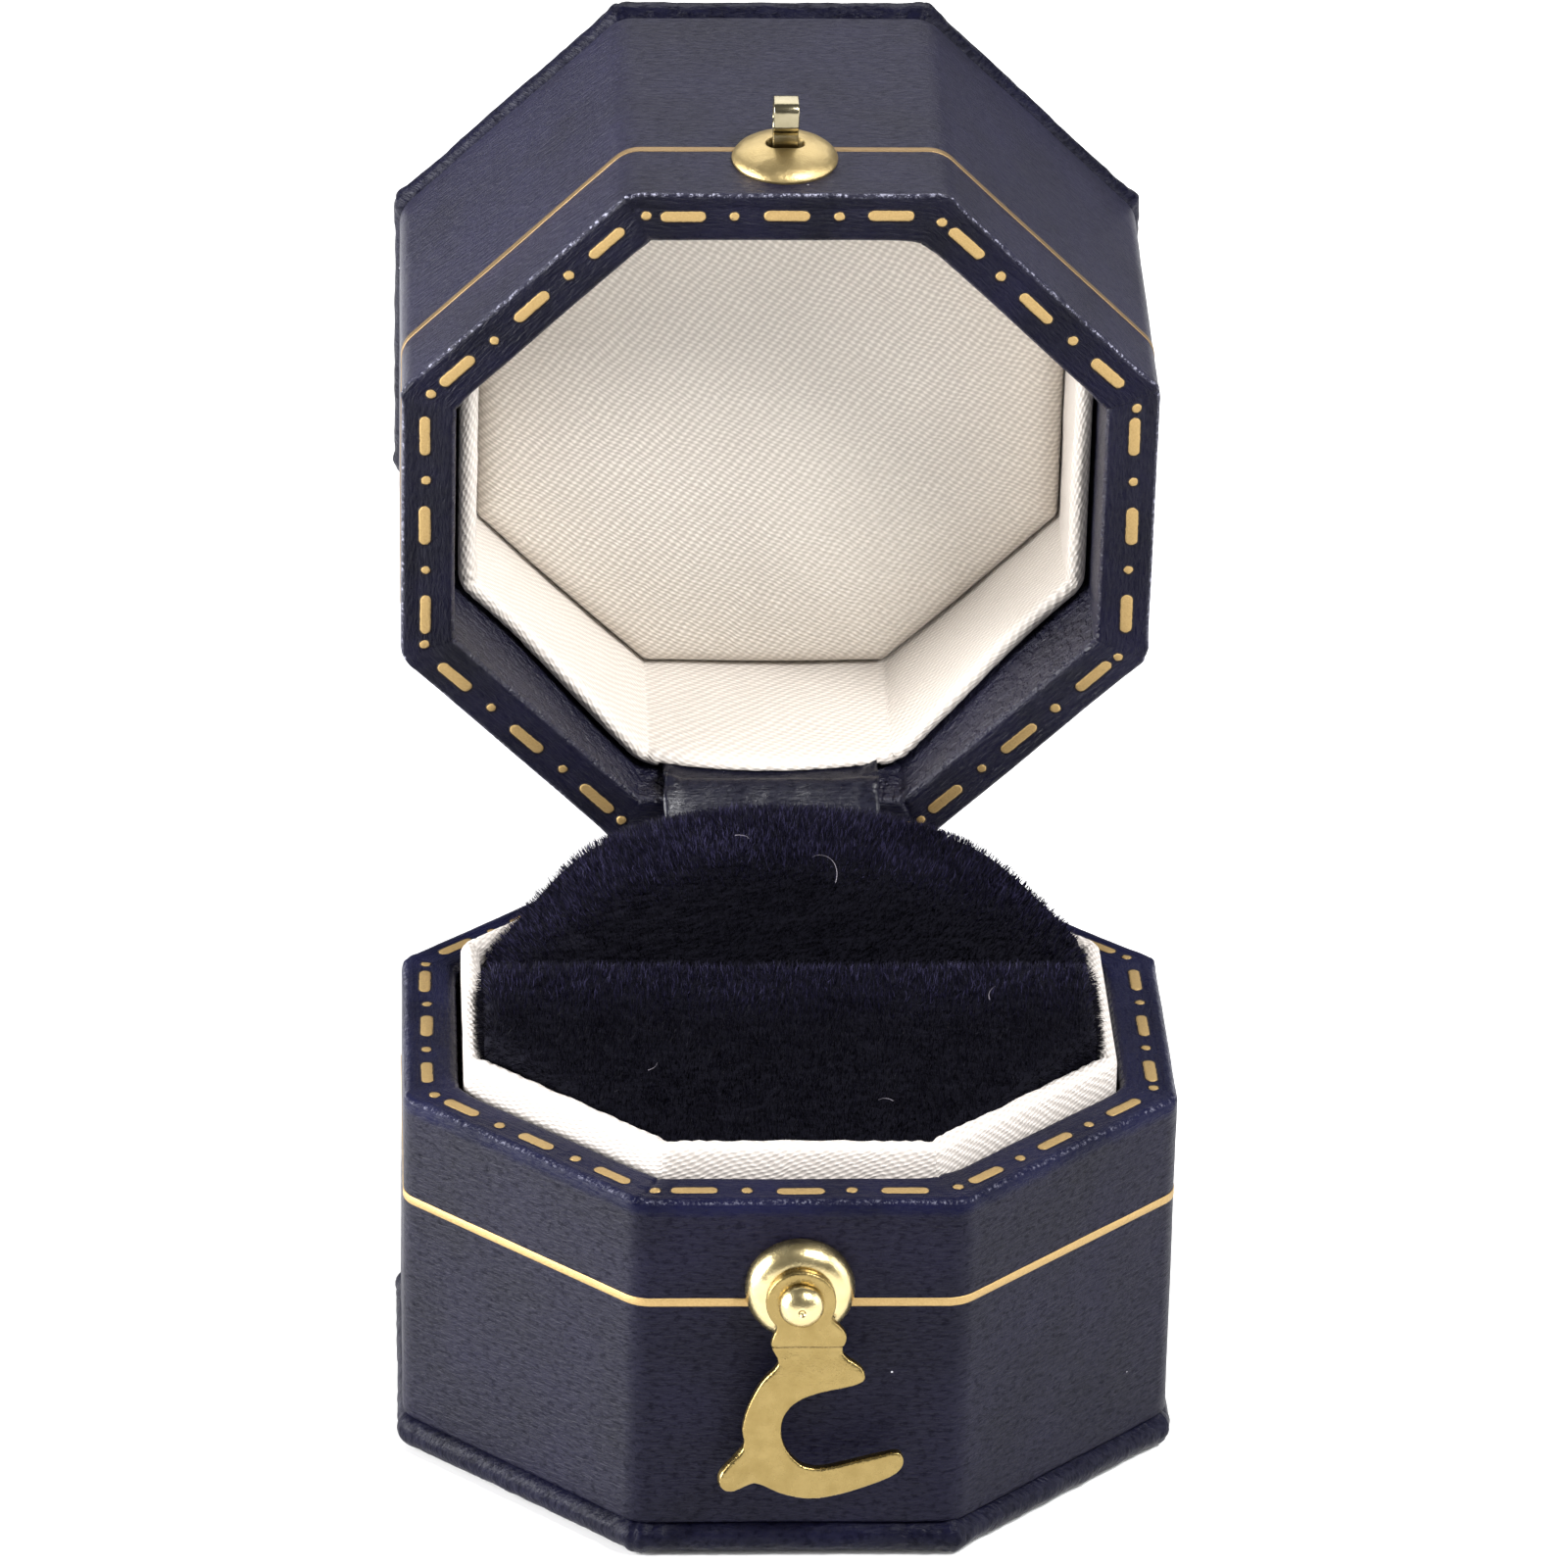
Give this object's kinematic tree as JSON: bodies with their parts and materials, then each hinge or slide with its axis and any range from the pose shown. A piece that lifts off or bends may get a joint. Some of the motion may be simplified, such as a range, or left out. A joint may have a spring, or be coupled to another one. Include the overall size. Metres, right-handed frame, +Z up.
{
  "type": "ring box",
  "caption": "Octagonal leather-cloth ring box with hinged lid, hook clasp, satin-lined lid and velvet ring pad with a slot.",
  "frame": {"origin": "middle of the base's flat underside, which stands on the table", "axes": "+Z up, +Y from the front (clasp side) to the back (hinge side), +X to the right seen from the front; the lid is open at rest"},
  "size_m": [0.0486, 0.0784, 0.0777],
  "materials": {
    "leather_cloth": "navy leather cloth with a fine grain",
    "greyboard": "plain board",
    "gold_foil": "hot-stamped foil",
    "white_satin": "satin weave",
    "ivory_satin": "padded satin",
    "velvet": "short navy pile",
    "foam": "open foam",
    "brass": "satin gilt",
    "pale_gilt": "pale gilt ribbon",
    "steel": "plated"
  },
  "bodies": {
    "base": {"bottom_board": "greyboard", "bottom_wrap": "leather_cloth", "base_wall_core": "greyboard", "base_wall_wrap": "leather_cloth", "base_foil_line": "gold_foil", "base_collar_card": "greyboard", "base_collar_satin": "white_satin", "pad_board": "greyboard", "pad_core": "foam", "front_roll": "velvet", "rear_roll": "velvet", "base_rosette": "brass", "hook_rivet": "brass", "hinge_base_leaf": "steel", "hinge_pin": "steel", "hinge_flap": "leather_cloth"},
    "hook": {"hook": "brass"},
    "lid": {"hinge_lid_leaf": "steel", "lid_wall_core": "greyboard", "lid_wall_wrap": "leather_cloth", "lid_foil_line": "gold_foil", "lid_top_board": "greyboard", "lid_top_wrap": "leather_cloth", "lid_collar_card": "greyboard", "lid_collar_satin": "white_satin", "lid_cushion_board": "greyboard", "lid_cushion": "ivory_satin", "lid_rosette": "brass", "keeper_eye": "pale_gilt"}
  },
  "joints": [
    {"name": "lid_hinge", "type": "hinge", "parent": "base", "child": "lid", "pos_m": [0, 0.0247, 0.0246], "axis": [1, 0, 0], "range_deg": [0, 83], "deforming": ["hinge_flap"]},
    {"name": "hook_pivot", "type": "hinge", "parent": "base", "child": "hook", "pos_m": [0, -0.0255, 0.0187], "axis": [0, -1, 0], "range_deg": [-120, 171]}
  ]
}
